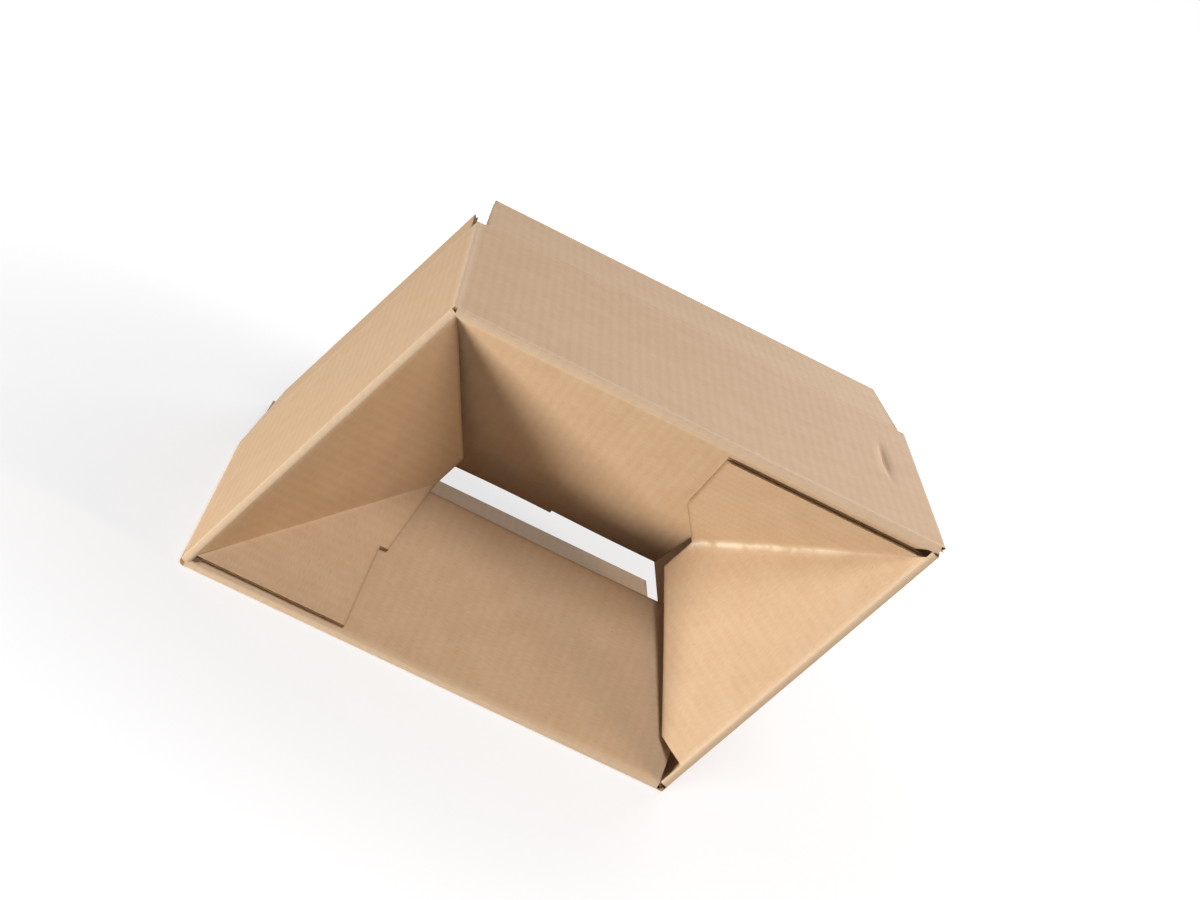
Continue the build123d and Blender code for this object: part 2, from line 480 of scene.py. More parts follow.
def liner_patterns(tree):
    """Sockets with the paper's patterns, and with the marks that the mesh carries."""
    place = add(tree, "ShaderNodeTexCoord").outputs["Object"]
    blank = add(tree, "ShaderNodeUVMap", uv_map="blank").outputs["UV"]
    fine = (1 / fibre_length, 1 / fibre_width, 1)
    grain = add(tree, "ShaderNodeMapping", {"Vector": blank, "Scale": fine}).outputs[0]
    patterns = {}
    for name, where, size, detail in (
        ("clouds", place, cloud_size, 4),
        ("fibres", grain, 1, 3),
        ("specks", place, speck_size, 1),
        ("pale_patches", place, pale_patch_size, 3),
        ("wrinkles", place, wrinkle_size, 4),
    ):
        noise = add(tree, "ShaderNodeTexNoise", {"Vector": where, "Scale": 1 / size, "Detail": detail})
        patterns[name] = noise.outputs["Fac"]
    for name in ("fold", "crush", "edge"):
        patterns[name] = add(tree, "ShaderNodeAttribute", attribute_name=name).outputs["Fac"]

    # Washboard: one wave for each flute under the liner
    across = add(tree, "ShaderNodeSeparateXYZ", {"Vector": blank}).outputs["X"]
    turns = add(tree, "ShaderNodeMath", {0: across, 1: 2 * pi / flute_pitch}, operation="MULTIPLY")
    patterns["washboard"] = add(tree, "ShaderNodeMath", {0: turns.outputs[0]}, operation="SINE").outputs[0]
    return patterns


print(f"one wave of the washboard every {flute_pitch / mm:.1f} mm")

# %% The liner's browns
dark_brown = "#c7a581"
light_brown = "#ceaf8c"
speck_brown = "#a07d58"
fibre_show = 0.1
# How strongly the washboard's painted shade stripes show in the colour
washboard_shade_show = 0.35


def brown_paper(tree, patterns):
    """Clouds choose the brown, and fibres, the washboard's painted shade and specks shift it."""
    browns = add(tree, "ShaderNodeValToRGB", {"Fac": patterns["clouds"]})
    set_stops(browns.color_ramp, (0.2, dark_brown), (0.8, light_brown))
    pale = add(tree, "ShaderNodeMapRange", {"Value": patterns["fibres"], "From Min": 0.3, "From Max": 0.7})
    weave = add(
        tree, "ShaderNodeMix",
        {0: fibre_show, 6: browns.outputs["Color"], 7: pale.outputs["Result"]},
        data_type="RGBA", blend_type="SOFT_LIGHT",
    )
    # The washboard's light and dark stripes are painted shade of the flutes under the liner
    washboard_shade = add(
        tree, "ShaderNodeMapRange",
        {"Value": patterns["washboard"], "From Min": -1, "To Min": 0.46, "To Max": 0.54},
    )
    washboard_shaded = add(
        tree, "ShaderNodeMix",
        {0: washboard_shade_show, 6: weave.outputs[2], 7: washboard_shade.outputs["Result"]},
        data_type="RGBA", blend_type="SOFT_LIGHT",
    )
    sparse = add(
        tree, "ShaderNodeMapRange",
        {"Value": patterns["specks"], "From Min": 0.72, "From Max": 0.86},
    )
    flecked = add(
        tree, "ShaderNodeMix",
        {0: sparse.outputs["Result"], 6: washboard_shaded.outputs[2], 7: colour(speck_brown)},
        data_type="RGBA",
    )
    return flecked.outputs[2]


print("browns from", dark_brown, "to", light_brown)

# %% Wear and painted light along folds and cuts
# Pale brown at folds and the forced crease: partly wear, partly a painted highlight
worn_and_highlight_brown = "#ead6ba"
# Dark brown beside cuts: partly the die's pinch, partly painted shade along the edge
pinched_and_shaded_brown = "#8f6f4c"
fold_wear_and_highlight = 0.3
cut_pinch_and_shade = 0.6


def worn_paper_with_painted_light(tree, patterns):
    """Folds and scuffed patches turn the brown paler, partly as wear and partly as a painted highlight, and
    beside a cut it is darker, partly from the die's pinch and partly as painted shade.
    """
    pale_patch_mask = add(
        tree, "ShaderNodeMapRange",
        {"Value": patterns["pale_patches"], "From Min": 0.36, "From Max": 0.56},
    )
    # Pale scuffs along the forced crease: partly worn paper, partly a painted highlight
    scuff_and_highlight = add(
        tree, "ShaderNodeMath",
        {0: patterns["crush"], 1: pale_patch_mask.outputs["Result"]},
        operation="MULTIPLY",
    )
    wear_and_highlight = add(
        tree, "ShaderNodeMath",
        {0: patterns["fold"], 1: fold_wear_and_highlight, 2: scuff_and_highlight.outputs[0]},
        operation="MULTIPLY_ADD", use_clamp=True,
    )
    paler = add(
        tree, "ShaderNodeMix",
        {0: wear_and_highlight.outputs[0], 6: brown_paper(tree, patterns), 7: colour(worn_and_highlight_brown)},
        data_type="RGBA",
    )
    # Beside a cut the paper is darker, from the die's pinch and from painted shade
    cut_darkening = add(tree, "ShaderNodeMath", {0: patterns["edge"], 1: cut_pinch_and_shade}, operation="MULTIPLY")
    paper = add(
        tree, "ShaderNodeMix",
        {0: cut_darkening.outputs[0], 6: paler.outputs[2], 7: colour(pinched_and_shaded_brown)},
        data_type="RGBA",
    )
    return paper.outputs[2]


print("a fold is bleached by", fold_wear_and_highlight, "and a cut darkened by", cut_pinch_and_shade)

# %% The kraft liner material
paper_ior = 1.47
tooth_height = 0.05         # these three heights are in millimetres
washboard_height = 0.02
wrinkle_height = 0.5


def liner_relief(tree, patterns):
    """Fibre tooth, the washboard, and wrinkles where the paper was crushed."""
    tooth = add(tree, "ShaderNodeMath", {0: patterns["fibres"], 1: tooth_height}, operation="MULTIPLY")
    waves = add(
        tree, "ShaderNodeMath",
        {0: patterns["washboard"], 1: washboard_height, 2: tooth.outputs[0]},
        operation="MULTIPLY_ADD",
    )
    creased = add(
        tree, "ShaderNodeMath",
        {0: patterns["wrinkles"], 1: patterns["crush"]},
        operation="MULTIPLY",
    )
    height = add(
        tree, "ShaderNodeMath",
        {0: creased.outputs[0], 1: wrinkle_height, 2: waves.outputs[0]},
        operation="MULTIPLY_ADD",
    )
    relief = add(tree, "ShaderNodeBump", {"Strength": 1, "Distance": mm, "Height": height.outputs[0]})
    return relief.outputs["Normal"]


def kraft_liner():
    """Machine-finished kraft linerboard: matt, clouded brown with fibres, specks and washboard."""
    material, tree = new_material("kraft_linerboard_machine_finished")
    patterns = liner_patterns(tree)
    matt = add(tree, "ShaderNodeMapRange", {"Value": patterns["fibres"], "To Min": 0.72, "To Max": 0.9})
    shader = add(
        tree, "ShaderNodeBsdfPrincipled",
        {
            "Base Color": worn_paper_with_painted_light(tree, patterns),
            "Roughness": matt.outputs["Result"],
            "IOR": paper_ior,
            "Specular IOR Level": 0.35,
            "Normal": liner_relief(tree, patterns),
        },
    )
    add(tree, "ShaderNodeOutputMaterial", {"Surface": shader.outputs["BSDF"]})
    return material


liner_paper = kraft_liner()
print("made", liner_paper.name, "with", len(liner_paper.node_tree.nodes), "nodes")

# %% [markdown]
# ## Cut paper and fluting
#
# A die crushes the paper as it cuts it, so the thin edge of a liner is a little darker than its
# face. The fluting is recycled paper, greyer and coarser than the liner, steamed and pressed into
# waves. Both are matt, so each is a plain rough shader with a fine noise in its colour.

# %% The cut edge and fluting materials
grit_height = 0.1 * mm


def plain_paper(name, dark, light, size, roughness):
    """Matt paper whose colour drifts between two browns over patches of the given size."""
    material, tree = new_material(name)
    place = add(tree, "ShaderNodeTexCoord").outputs["Object"]
    noise = add(tree, "ShaderNodeTexNoise", {"Vector": place, "Scale": 1 / size, "Detail": 3})
    patches = noise.outputs["Fac"]
    browns = add(tree, "ShaderNodeValToRGB", {"Fac": patches})
    set_stops(browns.color_ramp, (0.35, dark), (0.65, light))
    relief = add(tree, "ShaderNodeBump", {"Strength": 0.5, "Distance": grit_height, "Height": patches})
    shader = add(
        tree, "ShaderNodeBsdfPrincipled",
        {
            "Base Color": browns.outputs["Color"],
            "Roughness": roughness,
            "IOR": paper_ior,
            "Specular IOR Level": 0.25,
            "Normal": relief.outputs["Normal"],
        },
    )
    add(tree, "ShaderNodeOutputMaterial", {"Surface": shader.outputs["BSDF"]})
    return material


cut_paper = plain_paper(
    "kraft_linerboard_die_cut_edge",
    dark="#b8956c", light="#d0ae86", size=1.5 * mm, roughness=0.9,
)
fluting_paper = plain_paper(
    "recycled_fluting_steam_formed",
    dark="#a68560", light="#b8966e", size=3 * mm, roughness=0.88,
)
print("made", cut_paper.name, "and", fluting_paper.name)

# %% [markdown]
# ## Grids that fold
#
# A liner is drawn as grids of points: one for each panel, and one for each fold, where the points
# turn round the inner corner of the board. Neighbouring grids share the points on their common
# line, so welding them gives one folded paper. Rows and columns lie close beside edges and folds,
# where the shape changes, and further apart in the middle. Each point keeps its place on the flat
# sheet as its UV, and three marks for the shader: how near a fold it is, how crushed, and how near
# a cut.

# %% Rows, turns and distances
beside = np.array([0, 1.5, 3.5, 7.0]) * mm
fold_fade = 1.6 * mm
cut_fade = 1.0 * mm
square_step = 45            # a cut line steeper than this is a square step, not a slanted side


def rows_between(low, high, count):
    """Places from low to high in each column: close together beside both ends."""
    squeeze = np.minimum(1, (high - low) / (4 * beside[-1]))[:, None]
    first = low[:, None] + beside * squeeze
    last = high[:, None] - beside[::-1] * squeeze
    share = np.linspace(0, 1, count + 2)[1:-1]
    middle = first[:, -1:] + share * (last[:, :1] - first[:, -1:])
    return np.hstack([first, middle, last])


def turned(first, last, steps):
    """Directions that turn evenly from one to another."""
    angle = acos(first @ last)
    share = np.linspace(0, 1, steps + 1)
    from_first = np.outer(np.sin((1 - share) * angle), first)
    to_last = np.outer(np.sin(share * angle), last)
    return (from_first + to_last) / sin(angle)


def near(distance, fade=fold_fade):
    """1 on a fold or a cut, fading to 0 a few millimetres away."""
    return np.exp(-(np.maximum(distance, 0) / fade) ** 2)


def beside_cut(places, reach, rows):
    """1 on a cut edge, fading to 0 beside it, for columns of rows that end on the cut."""
    slant = np.gradient(reach, places)
    slant = np.where(np.abs(slant) < square_step, slant, 0)
    return near((reach[:, None] - rows) / np.sqrt(1 + slant**2)[:, None], cut_fade)


print("rows beside an edge at", (beside / mm).tolist(), "mm")

# %% A paper made of welded grids
weld_reach = knife / 3
shortest_edge = knife / 10


class Paper:
    """Collects grids of points and welds them into one mesh."""

    def __init__(self):
        self.points = []
        self.blank = []
        self.marks = {"fold": [], "crush": [], "edge": []}
        self.faces = []
        self.count = 0

    def grid(self, points, u, v, fold, outward, crush=0.0, edge=0.0):
        """Adds a grid that faces outward, with its place on the flat sheet and its marks."""
        shape = points.shape[:2]
        index = self.count + np.arange(shape[0] * shape[1]).reshape(shape)
        corners = [index[:-1, :-1], index[1:, :-1], index[1:, 1:], index[:-1, 1:]]
        quads = np.stack(corners, -1).reshape(-1, 4)
        one_way = np.diff(points, axis=0)[:, :-1]
        other_way = np.diff(points, axis=1)[:-1]
        if np.cross(one_way, other_way).sum((0, 1)) @ outward < 0:
            quads = quads[:, ::-1]
        blank = np.stack(np.broadcast_arrays(u, v, np.zeros(shape)), -1)
        self.points.append(points.reshape(-1, 3))
        self.blank.append(blank.reshape(-1, 3))
        for key, values in (("fold", fold), ("crush", crush), ("edge", edge)):
            self.marks[key].append(np.broadcast_to(values, shape).ravel())
        self.faces.append(quads)
        self.count += index.size

    def mesh(self, name):
        """One welded mesh, with the marks as attributes and the flat sheet as its UV map."""
        mesh = bpy.data.meshes.new(name)
        mesh.from_pydata(np.concatenate(self.points).tolist(), [], np.concatenate(self.faces).tolist())
        flat = mesh.attributes.new("flat_place", "FLOAT_VECTOR", "POINT")
        flat.data.foreach_set("vector", np.concatenate(self.blank).astype(np.float32).ravel())
        for key, values in self.marks.items():
            mark = mesh.attributes.new(key, "FLOAT", "POINT")
            mark.data.foreach_set("value", np.concatenate(values).astype(np.float32))
        weld = bmesh.new()
        weld.from_mesh(mesh)
        bmesh.ops.remove_doubles(weld, verts=weld.verts, dist=weld_reach)
        bmesh.ops.dissolve_degenerate(weld, edges=weld.edges, dist=shortest_edge)
        weld.to_mesh(mesh)
        weld.free()
        self.unroll(mesh)
        return mesh

    @staticmethod
    def unroll(mesh):
        """Turns each point's place on the flat sheet into the mesh's UV map."""
        places = np.zeros(len(mesh.vertices) * 3, np.float32)
        mesh.attributes["flat_place"].data.foreach_get("vector", places)
        corners = np.zeros(len(mesh.loops), np.int32)
        mesh.loops.foreach_get("vertex_index", corners)
        uv = mesh.uv_layers.new(name="blank")
        uv.data.foreach_set("uv", places.reshape(-1, 3)[corners, :2].ravel())
        mesh.attributes.remove(mesh.attributes["flat_place"])


print(f"points closer than {weld_reach / mm:.2f} mm are welded")

# %% [markdown]
# ## The folded walls and flaps
#
# The two liners of the body are the same folded form at two depths: on the outer face, and one
# board thickness in. Round a fold the outer liner keeps a radius of one board and the inner liner
# closes to a sharp corner. At the diagonal creases it is the other way round, because those fold
# outwards. A few functions draw the whole form at a given depth.

# %% Where the flat part of each wall ends
top_slot = 6 * mm
score_half = 4 * mm
strip_end_setback = 1.5 * mm
tight_turn = board * tan((pi - skew) / 2)
wide_turn = board * tan(skew / 2)

# The lap's fold lies a board further in, because the lap goes inside the upper wall
across_joint = right.into @ upper.into
joint_line = upper_right + right.into * (board - 2 * board * across_joint) / sin(skew)**2
joint_line = joint_line + upper.into * (2 * board - board * across_joint) / sin(skew)**2
lap_fold = (joint_line - upper_right) @ right.rim
lap = Panel(joint_line - upper.into * board, -upper.rim, axis, -upper.into)

right.flat = (lap_fold, end_wall - wide_turn)
lower.flat = (wide_turn, long_wall - tight_turn)
left.flat = (tight_turn, end_wall - wide_turn)
upper.flat = (wide_turn, long_wall - strip_end_setback)
print("flat widths in mm:", [round((wall.flat[1] - wall.flat[0]) / mm, 1) for wall in walls])

# %% Columns across each wall
column_step = 5 * mm
column_gap = column_step / 6
buckle_columns = buckle_place + np.arange(-3, 4) * buckle_width / 2


def columns_along(wall):
    """Places across a wall: its outline's corners, close steps beside folds, even steps between."""
    first, last = wall.flat
    marks = [first, last, top_slot - knife, top_slot + knife]
    marks += [wall.width - top_slot - knife, wall.width - top_slot + knife]
    marks += [wall.cut.places[0] - 2 * knife, wall.cut.places[-1] + 2 * knife, *wall.cut.places]
    if wall in ends:
        marks += list(crease + wall.tab_cut.places)
    if wall is upper:
        marks += list(buckle_columns)
    marks = np.unique(np.clip(marks, first, last))
    even = np.concatenate([np.arange(first, last, column_step), first + beside, last - beside])
    clear = [place for place in even if np.abs(marks - place).min() > column_gap]
    return np.unique(np.concatenate([marks, clear]))


def within(places, low, high):
    """Which places lie between two others, or on them."""
    return (places >= low - slack) & (places <= high + slack)


for wall in walls:
    wall.columns = columns_along(wall)
    wall.root = wall.columns[within(wall.columns, wall.cut.places[0], wall.cut.places[-1])]
    scored = (wall.columns > top_slot) & (wall.columns < wall.width - top_slot)
    wall.top = np.where(scored, wall.height - score_half, end_height)
print("columns across the walls:", [len(wall.columns) for wall in walls])

# %% Walls and upright folds
wall_rows = 26
fold_steps = 12
fold_middle = fold_steps // 2
turn_share = np.linspace(0, 1, fold_steps + 1)
corner_square = 0.85
slot_depth = 1.2 * mm


def add_wall(paper, wall, depth, outward):
    """The flat wall, down to its bottom fold or slots and up to its top scores."""
    low = np.where(np.isin(wall.columns, wall.root), board, slot_depth)
    t = rows_between(low, wall.top, wall_rows)
    s = np.broadcast_to(wall.columns[:, None], t.shape)
    first, last = wall.flat
    folds = np.minimum(np.minimum(s - first, last - s), t - board)
    points = wall.panel.place(s, t, depth)
    paper.grid(points, wall.offset + s, t, near(folds), outward * wall.panel.outward)


def squared(out, flats, square):
    """How far a fold stands out in each direction: 1 where round, more where it squares up."""
    corner = 1 / np.max(out @ np.array(flats).T, axis=1)
    return (1 + square * (corner - 1))[:, None]


def add_corner(paper, wall, following, depth, outward):
    """The upright fold between two walls, round the inner corner of the board."""
    # The inner liner closes to a line there, on which its two walls already meet
    if depth == board:
        return
    foot = wall.corner + wall.rim * wall.flat[1] + wall.into * board
    out = turned(-wall.into, -following.into, fold_steps)
    square = 0 if wall is lower else corner_square
    out = out * squared(out, [-wall.into, -following.into], square)
    whole = np.ones(fold_steps + 1)
    t = rows_between(slot_depth * whole, end_height * whole, wall_rows)
    points = foot + np.multiply.outer(t, axis) + ((board - depth) * out)[:, None]
    u = wall.offset + wall.flat[1] + turn_share * (wall.width - wall.flat[1] + following.flat[0])
    paper.grid(points, u[:, None], t, 1.0, outward * out[fold_middle])


print("a fold turns in", fold_steps, "steps")

# %% Bottom folds and flaps
flap_rows = 16
rim_square = 0.5
# The diagonal creases and the forced crease are painted pale: partly wear, partly a painted highlight
crease_wear_and_highlight = 0.5
crease_mark_reach = 2.2 * mm
crease_mark_from = 20 * mm
crease_mark_fades_in = 40 * mm


def add_bottom_fold(paper, wall, depth, outward):
    """The fold along the rim, from the wall to its bottom flap."""
    s = wall.root
    out = turned(-wall.into, wall.face, fold_steps)
    out = out * squared(out, [-wall.into, -axis, wall.face], rim_square)
    centres = wall.fold + np.multiply.outer(s, wall.rim)
    points = centres[:, None] + (board - depth) * out
    v = board - turn_share * 2 * board
    paper.grid(points, wall.offset + s[:, None], v, 1.0, outward * out[fold_middle])


def crush_near(wall, distance, along):
    """Crushing of the paper beside the right end's crease, stronger towards its free end."""
    if wall is not right:
        return 0.0
    return near(distance, crease_mark_reach) * rise((along - crease_mark_from) / crease_mark_fades_in)


def add_flap(paper, wall, depth, outward):
    """The bottom flap, from its fold to its cut edge or crease."""
    reach = wall.cut(wall.root)
    t = rows_between(np.zeros(len(reach)), reach, flap_rows)
    s = np.broadcast_to(wall.root[:, None], t.shape)
    fold = near(t)
    crush = 0.0
    edge = beside_cut(wall.root, reach, t)
    if wall in ends:
        from_crease = (s - crease - t) / sqrt(2)
        fold = np.maximum(fold, crease_wear_and_highlight * near(from_crease))
        crush = crush_near(wall, from_crease, t)
        edge = edge * (s > crease_end + knife)
    points = wall.flap.place(s, t, depth)
    paper.grid(points, wall.offset + s, -board - t, fold, outward * wall.face, crush, edge)


print("scuffed within", round(crease_mark_reach / mm, 1), "mm of the forced crease")

# %% Corner tabs
tab_rows = 12


def tab_columns(end):
    """The flap's columns that go on into its tab, measured from the start of the crease."""
    first = max(0, end.tab_cut.places[0])
    return end.root[within(end.root, crease + first, crease_end)] - crease


def add_tab(paper, end, depth, outward):
    """The corner tab beyond an end flap's crease, and the turn of the crease itself."""
    q = tab_columns(end)
    reach = np.maximum(q, end.tab_cut(q))
    p = rows_between(q, reach, tab_rows)
    wide_q = np.broadcast_to(q[:, None], p.shape)
    distance = (p - wide_q) / sqrt(2)
    points = end.tab.place(wide_q, p, depth)
    u = end.offset + crease + wide_q
    crush = crush_near(end, distance, wide_q)
    edge = beside_cut(q, reach, p)
    paper.grid(points, u, -board - p, crease_wear_and_highlight * near(distance), outward * end.tab.outward, crush, edge)
    if depth > 0:
        back = turned(-end.face, -end.glued_to.face, fold_middle)
        line = end.flap.place(crease + q, q, 0.0 * q)
        points = line[:, None] + depth * back
        paper.grid(points, u[:, :1], -board - q[:, None], crease_wear_and_highlight, -outward * back[fold_middle // 2])


print("columns in the two tabs:", [len(tab_columns(end)) for end in ends])

# %% The glue lap and the whole body
lap_width = 27 * mm
lap_gap = 9 * mm
lap_steps = 5


def add_lap(paper, depth, outward):
    """The glue lap, bent from the right wall to lie inside the upper one."""
    low = lap_gap + turn_share * (slot_depth - lap_gap)
    high = end_height - lap_gap + turn_share * (lap_gap - score_half)
    t = rows_between(low, high, wall_rows)
    # The bend closes to a line on the inner liner, as at the other upright folds
    if depth < board:
        out = turned(-upper.into, -right.into, fold_steps)
        points = joint_line + np.multiply.outer(t, axis) + ((board - depth) * out)[:, None]
        u = np.linspace(-board, lap_fold, fold_steps + 1)
        paper.grid(points, u[:, None], t, 1.0, outward * out[fold_middle])
    s = np.concatenate([beside[:-1], np.linspace(beside[-1], lap_width, lap_steps)])
    t = np.broadcast_to(t[0], (len(s), t.shape[1]))
    s = np.broadcast_to(s[:, None], t.shape)
    paper.grid(lap.place(s, t, depth), -board - s, t, near(s), outward * lap.outward)


def folded_body(depth, outward):
    """The whole body at one depth through the board."""
    paper = Paper()
    for wall in walls:
        add_wall(paper, wall, depth, outward)
        add_bottom_fold(paper, wall, depth, outward)
        add_flap(paper, wall, depth, outward)
    for wall, following in zip(walls[:-1], walls[1:]):
        add_corner(paper, wall, following, depth, outward)
    for end in ends:
        add_tab(paper, end, depth, outward)
    add_lap(paper, depth, outward)
    return paper


print("points in the outer form:", folded_body(0.0, 1).count)

# %% [markdown]
# ## From folded form to liners
#
# A liner is a third of a millimetre thick. The Solidify modifier gives each folded form that
# thickness towards the middle of the board and closes its cut edges with their own material.
# The result is read back from the evaluated object as a plain mesh, so that no modifier is left.

# %% Objects and evaluated meshes
soft_angle = radians(40)


def to_object(mesh, name):
    """A new object at the origin that shows this mesh."""
    piece = bpy.data.objects.new(name, mesh)
    bpy.context.scene.collection.objects.link(piece)
    return piece


def evaluated_mesh(piece):
    """The piece's mesh with its modifiers applied; the piece and its old mesh are removed."""
    view = bpy.context.evaluated_depsgraph_get()
    mesh = bpy.data.meshes.new_from_object(piece.evaluated_get(view))
    old = piece.data
    bpy.data.objects.remove(piece)
    bpy.data.meshes.remove(old)
    return mesh


def joined(meshes, name, materials):
    """One smooth-shaded object made of several meshes."""
    whole = bmesh.new()
    for mesh in meshes:
        whole.from_mesh(mesh)
        bpy.data.meshes.remove(mesh)
    result = bpy.data.meshes.new(name)
    whole.to_mesh(result)
    whole.free()
    for material in materials:
        result.materials.append(material)
    result.shade_smooth()
    result.set_sharp_from_angle(angle=soft_angle)
    return to_object(result, name)


print(f"edges up to {np.degrees(soft_angle):.0f} degrees are shaded smooth")

# %% The body's two liners
liner = 0.35 * mm


def thick_paper(paper):
    """A closed sheet of liner from a folded form."""
    mesh = paper.mesh("liner")
    mesh.materials.append(liner_paper)
    mesh.materials.append(cut_paper)
    piece = to_object(mesh, "liner")
    solid = piece.modifiers.new("Thickness", "SOLIDIFY")
    solid.thickness = liner
    solid.offset = -1
    solid.use_quality_normals = True
    solid.material_offset_rim = 1
    return evaluated_mesh(piece)


def liners(form, name):
    """The outer and inner liner of one body as one piece."""
    papers = [thick_paper(form(0.0, 1)), thick_paper(form(board, -1))]
    return joined(papers, name, [liner_paper, cut_paper])


body_liners = liners(folded_body, "carton_liners")
print("carton_liners:", len(body_liners.data.polygons), "faces")

# %% [markdown]
# ## The fluting
#
# Between the liners runs the fluting, a sine wave of paper. It repeats hundreds of times and has to
# end exactly on each panel's cut edge, which is a good task for Geometry Nodes. The tree takes a
# flat outline, raises a fence round it, and lays a grid over it with a few columns for each flute.
# Rays along each column find the fence on both sides, so the column is stretched from cut edge to
# cut edge. Then the columns are lifted into waves and the paper gets its thickness.

# %% The tree's named inputs
def fluting_inputs(tree):
    """Names the sizes that the tree takes, and the geometry that comes out."""
    inputs = [("Outline", "Geometry"), ("Flute pitch", "Float"), ("Flute height", "Float")]
    inputs += [("Paper thickness", "Float"), ("Phase", "Float"), ("Edge gap", "Float")]
    inputs += [("Columns per flute", "Int"), ("Rows", "Int"), ("Paper", "Material")]
    for name, kind in inputs:
        tree.interface.new_socket(name, in_out="INPUT", socket_type="NodeSocket" + kind)
    tree.interface.new_socket("Fluting", in_out="OUTPUT", socket_type="NodeSocketGeometry")
    return add(tree, "NodeGroupInput").outputs


fluting = bpy.data.node_groups.new("fluting_between_liners", "GeometryNodeTree")
given = fluting_inputs(fluting)
print("inputs of the fluting tree:", [socket.name for socket in given if socket.name])

# %% A grid over the outline, and a fence round it
side_margin = 0.2 * mm
fence_depth = 10 * mm


def grid_over(tree, ground):
    """A grid as wide as the outline, with whole columns and one metre long."""
    size = add(tree, "ShaderNodeVectorMath", {0: ground["Max"], 1: ground["Min"]}, operation="SUBTRACT")
    wide = add(tree, "ShaderNodeSeparateXYZ", {"Vector": size.outputs[0]})
    width = add(tree, "ShaderNodeMath", {0: wide.outputs["X"], 1: side_margin}, operation="SUBTRACT")
    count = add(tree, "ShaderNodeMath", {0: width.outputs[0], 1: given["Flute pitch"]}, operation="DIVIDE")
    steps = add(
        tree, "ShaderNodeMath",
        {0: count.outputs[0], 1: given["Columns per flute"]},
        operation="MULTIPLY",
    )
    whole = add(tree, "ShaderNodeMath", {0: steps.outputs[0]}, operation="CEIL")
    columns = add(tree, "ShaderNodeMath", {0: whole.outputs[0], 1: 1}, operation="ADD")
    grid = add(
        tree, "GeometryNodeMeshGrid",
        {
            "Size X": width.outputs[0],
            "Size Y": 1,
            "Vertices X": columns.outputs[0],
            "Vertices Y": given["Rows"],
        },
    )
    return grid.outputs["Mesh"]


def fence_round(tree, outline):
    """The outline dropped a little, with its edges pulled up again past the ground."""
    dropped = add(
        tree, "GeometryNodeTransform",
        {"Geometry": outline, "Translation": (0, 0, -fence_depth)},
    )
    fence = add(
        tree, "GeometryNodeExtrudeMesh",
        {"Mesh": dropped.outputs[0], "Offset": (0, 0, 1), "Offset Scale": 2 * fence_depth},
        mode="EDGES",
    )
    return fence.outputs["Mesh"]


ground = add(fluting, "GeometryNodeBoundBox", {"Geometry": given["Outline"]}).outputs
grid = grid_over(fluting, ground)
fence = fence_round(fluting, given["Outline"])
print("nodes so far:", len(fluting.nodes))

# %% Columns stretched from cut edge to cut edge
far = 2.0


def column_of(tree, ground, here):
    """Each grid point's place across the outline."""
    both = add(tree, "ShaderNodeVectorMath", {0: ground["Max"], 1: ground["Min"]}, operation="ADD")
    middle = add(tree, "ShaderNodeSeparateXYZ", {"Vector": both.outputs[0]})
    column = add(
        tree, "ShaderNodeMath",
        {0: middle.outputs["X"], 1: 0.5, 2: here["X"]},
        operation="MULTIPLY_ADD",
    )
    return column.outputs[0]


def column_end(tree, fence, column, side):
    """Where a ray along the column stops at the fence, less a small gap."""
    start = add(tree, "ShaderNodeCombineXYZ", {"X": column, "Y": side * far})
    ray = add(
        tree, "GeometryNodeRaycast",
        {
            "Target Geometry": fence,
            "Source Position": start.outputs[0],
            "Ray Direction": (0, -side, 0),
            "Ray Length": 2 * far,
        },
    )
    stop = add(tree, "ShaderNodeSeparateXYZ", {"Vector": ray.outputs["Hit Position"]})
    inset = add(
        tree, "ShaderNodeMath",
        {0: given["Edge gap"], 1: -side, 2: stop.outputs["Y"]},
        operation="MULTIPLY_ADD",
    )
    return inset.outputs[0]


position = add(fluting, "GeometryNodeInputPosition").outputs[0]
here = add(fluting, "ShaderNodeSeparateXYZ", {"Vector": position}).outputs
column = column_of(fluting, ground, here)
share = add(fluting, "ShaderNodeMath", {0: here["Y"], 1: 0.5}, operation="ADD").outputs[0]
low_end, high_end = (column_end(fluting, fence, column, side) for side in (-1, 1))
along = add(fluting, "ShaderNodeMapRange", {"Value": share, "To Min": low_end, "To Max": high_end})
print("nodes so far:", len(fluting.nodes))

# %% Waves and thickness
merge_reach = 0.001 * mm


def wave_lift(tree, column):
    """Height of the paper's lower side, in step with the washboard of the liners."""
    shifted = add(tree, "ShaderNodeMath", {0: column, 1: given["Phase"]}, operation="ADD").outputs[0]
    cycles = add(tree, "ShaderNodeMath", {0: shifted, 1: given["Flute pitch"]}, operation="DIVIDE")
    turns = add(tree, "ShaderNodeMath", {0: cycles.outputs[0], 1: 2 * pi}, operation="MULTIPLY")
    wave = add(tree, "ShaderNodeMath", {0: turns.outputs[0]}, operation="SINE")
    half = add(tree, "ShaderNodeMath", {0: given["Flute height"], 1: 0.5}, operation="MULTIPLY")
    lift = add(tree, "ShaderNodeMath", {0: wave.outputs[0], 1: half.outputs[0]}, operation="MULTIPLY")
    sunk = add(
        tree, "ShaderNodeMath",
        {0: given["Paper thickness"], 1: -0.5, 2: lift.outputs[0]},
        operation="MULTIPLY_ADD",
    )
    return sunk.outputs[0]


